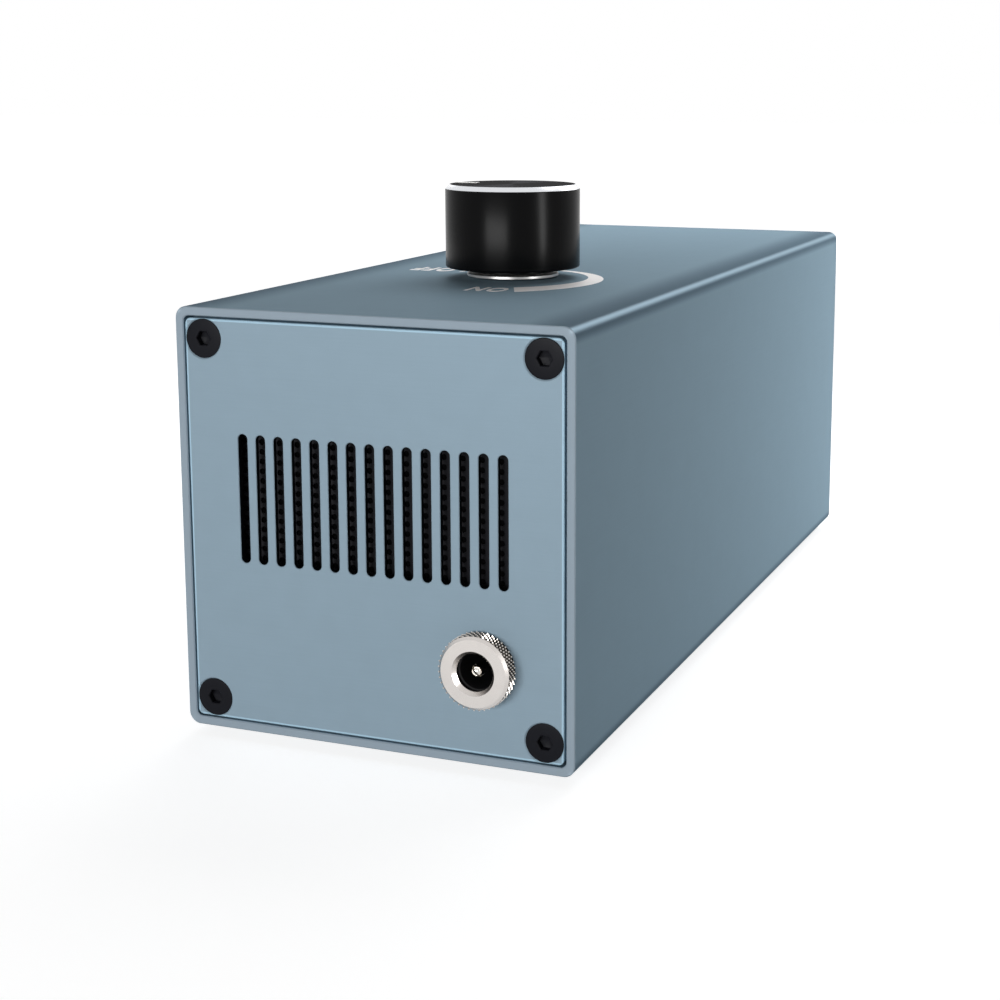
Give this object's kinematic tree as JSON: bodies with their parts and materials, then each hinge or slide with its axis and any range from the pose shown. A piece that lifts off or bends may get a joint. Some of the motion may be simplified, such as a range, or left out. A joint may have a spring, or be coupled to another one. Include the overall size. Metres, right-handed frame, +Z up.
{
  "type": "air assist pump",
  "caption": "Box-shaped air pump in an extruded aluminium case, with a flow knob on top, slotted end plates, a power jack, a hose barb and a motor-driven diaphragm pump inside.",
  "frame": {"origin": "under the middle of the whole part, on the surface that its feet stand on", "axes": "+Z up, -Y out of the end plate that holds the power jack, +X to the right of a viewer who faces that plate"},
  "size_m": [0.07, 0.2008, 0.0905],
  "materials": {
    "anodised": "blue-grey satin anodised, faintly brushed",
    "screw_black": "black oxide",
    "mesh_black": "black painted perforated sheet",
    "rubber": "matt black",
    "nickel": "bright nickel plate",
    "black_plastic": "moulded",
    "knob_black": "black anodised with a bright cut edge",
    "steel": "machined",
    "board": "green circuit board",
    "wire_red": "insulated wire",
    "wire_black": "insulated wire",
    "copper": "wound copper",
    "ferrite": "ground ferrite",
    "cast": "die cast",
    "silicone": "clear silicone"
  },
  "bodies": {
    "case": {"body_shell": "anodised", "jack_end_plate": "anodised", "outlet_end_plate": "anodised", "jack_end_screw_1": "screw_black", "jack_end_screw_2": "screw_black", "jack_end_screw_3": "screw_black", "jack_end_screw_4": "screw_black", "outlet_end_screw_1": "screw_black", "outlet_end_screw_2": "screw_black", "outlet_end_screw_3": "screw_black", "outlet_end_screw_4": "screw_black", "foot_1": "rubber", "foot_2": "rubber", "foot_3": "rubber", "foot_4": "rubber", "intake_mesh": "mesh_black", "exhaust_mesh": "mesh_black", "jack_shell": "nickel", "jack_core": "black_plastic", "jack_pin": "nickel", "jack_nut": "nickel", "pot_body": "black_plastic", "pot_washer": "nickel", "pot_nut": "nickel", "control_board": "board", "terminal_block": "black_plastic", "capacitor": "black_plastic", "power_transistor": "black_plastic", "jack_lead_red": "wire_red", "jack_lead_black": "wire_black", "motor_lead_red": "wire_red", "motor_lead_black": "wire_black", "base_tray": "steel", "damper_rail_1": "rubber", "damper_rail_2": "rubber", "motor_saddle": "rubber", "motor_can": "steel", "motor_end_cap": "black_plastic", "stator_magnet_1": "ferrite", "stator_magnet_2": "ferrite", "diaphragm": "rubber", "crankcase": "cast", "valve_plate": "black_plastic", "valve_flaps": "rubber", "pump_head": "cast", "head_screw_1": "steel", "head_screw_2": "steel", "head_screw_3": "steel", "head_screw_4": "steel", "outlet_hose": "silicone", "outlet_barb": "nickel", "outlet_nut": "nickel"},
    "flow_knob": {"knob": "knob_black", "knob_set_screw": "steel", "pot_shaft": "steel"},
    "rotor": {"armature": "copper", "crank": "steel"},
    "rod": {"connecting_rod": "black_plastic", "crank_bearing": "steel", "clamp_disc": "steel"}
  },
  "joints": [
    {"name": "knob_turn", "type": "hinge", "parent": "case", "child": "flow_knob", "pos_m": [0, -0.0369, 0.0732], "axis": [0, 0, -1], "range_deg": [0, 270]},
    {"name": "motor_spin", "type": "hinge", "parent": "case", "child": "rotor", "pos_m": [0, 0.0308, 0.0256], "axis": [0, 1, 0], "continuous": true, "deforming": ["diaphragm"]},
    {"name": "rod_on_pin", "type": "hinge", "parent": "rotor", "child": "rod", "pos_m": [0, 0.0308, 0.0271], "axis": [0, 1, 0], "continuous": true}
  ],
  "couplings": [
    {"joint": "rod_on_pin", "follows": "motor_spin", "ratio": -1}
  ]
}
